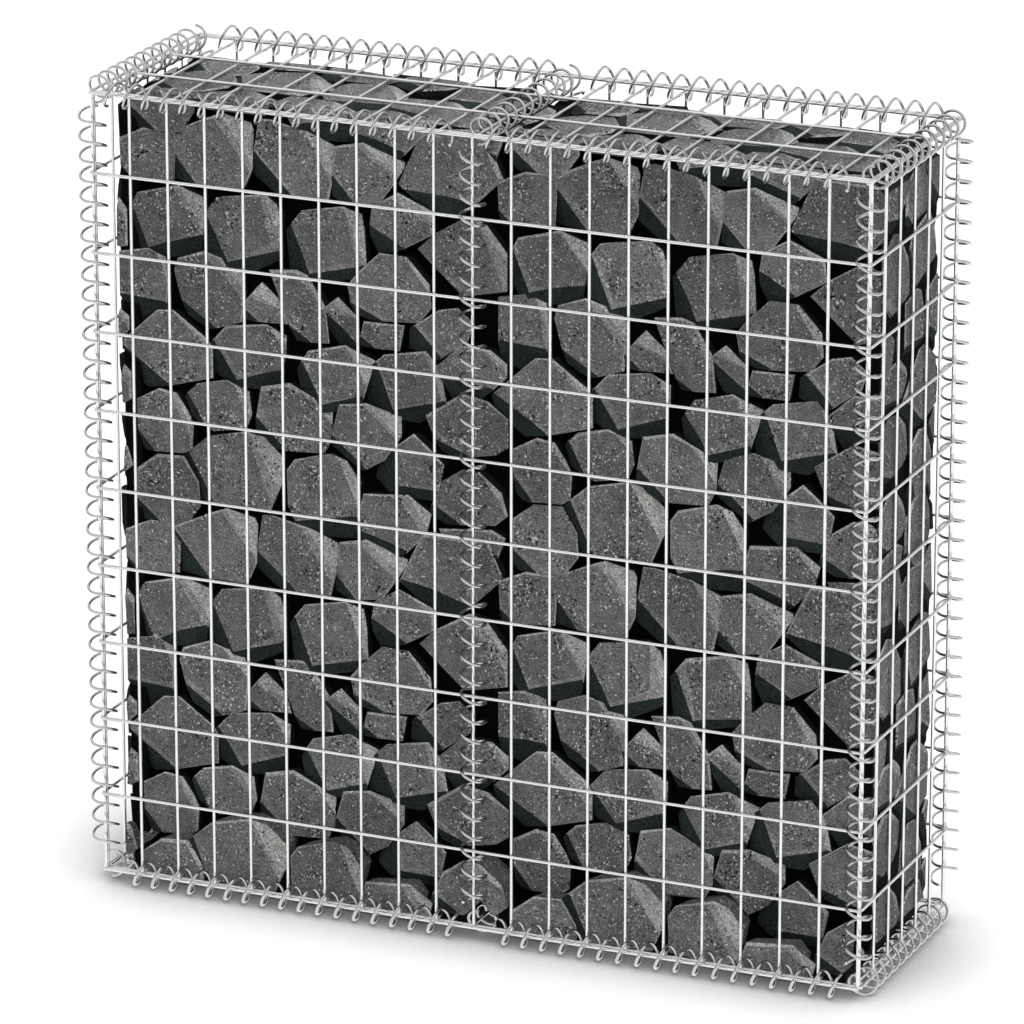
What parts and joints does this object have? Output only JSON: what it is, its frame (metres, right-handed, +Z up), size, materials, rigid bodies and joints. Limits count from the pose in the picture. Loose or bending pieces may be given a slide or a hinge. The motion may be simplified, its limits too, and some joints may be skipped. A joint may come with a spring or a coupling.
{
  "type": "gabion wall",
  "caption": "Free-standing gabion wall: welded wire mesh panels laced along every edge and round the middle with wire spirals, and filled with dark broken stone.",
  "frame": {"origin": "on the ground under the middle of the wall, level with the underside of the bottom spirals", "axes": "+X along the wall's length, +Y from the front to the back, +Z up"},
  "size_m": [1.0358, 0.3358, 1.0334],
  "materials": {
    "mesh_wire": "bright galvanised, satin",
    "spiral_wire": "bright galvanised, satin",
    "stone": "dark broken basalt, matte and pitted"
  },
  "bodies": {
    "root": {"front_panel": "mesh_wire", "back_panel": "mesh_wire", "left_end_panel": "mesh_wire", "right_end_panel": "mesh_wire", "lid_panel": "mesh_wire", "base_panel": "mesh_wire", "stone_fill": "stone", "front_left_upright_spiral": "spiral_wire", "front_middle_upright_spiral": "spiral_wire", "front_right_upright_spiral": "spiral_wire", "back_left_upright_spiral": "spiral_wire", "back_middle_upright_spiral": "spiral_wire", "back_right_upright_spiral": "spiral_wire", "top_front_left_spiral": "spiral_wire", "top_front_right_spiral": "spiral_wire", "top_back_left_spiral": "spiral_wire", "top_back_right_spiral": "spiral_wire", "bottom_front_left_spiral": "spiral_wire", "bottom_front_right_spiral": "spiral_wire", "bottom_back_left_spiral": "spiral_wire", "bottom_back_right_spiral": "spiral_wire", "top_left_cross_spiral": "spiral_wire", "top_middle_cross_spiral": "spiral_wire", "top_right_cross_spiral": "spiral_wire", "bottom_left_cross_spiral": "spiral_wire", "bottom_middle_cross_spiral": "spiral_wire", "bottom_right_cross_spiral": "spiral_wire"}
  },
  "joints": []
}
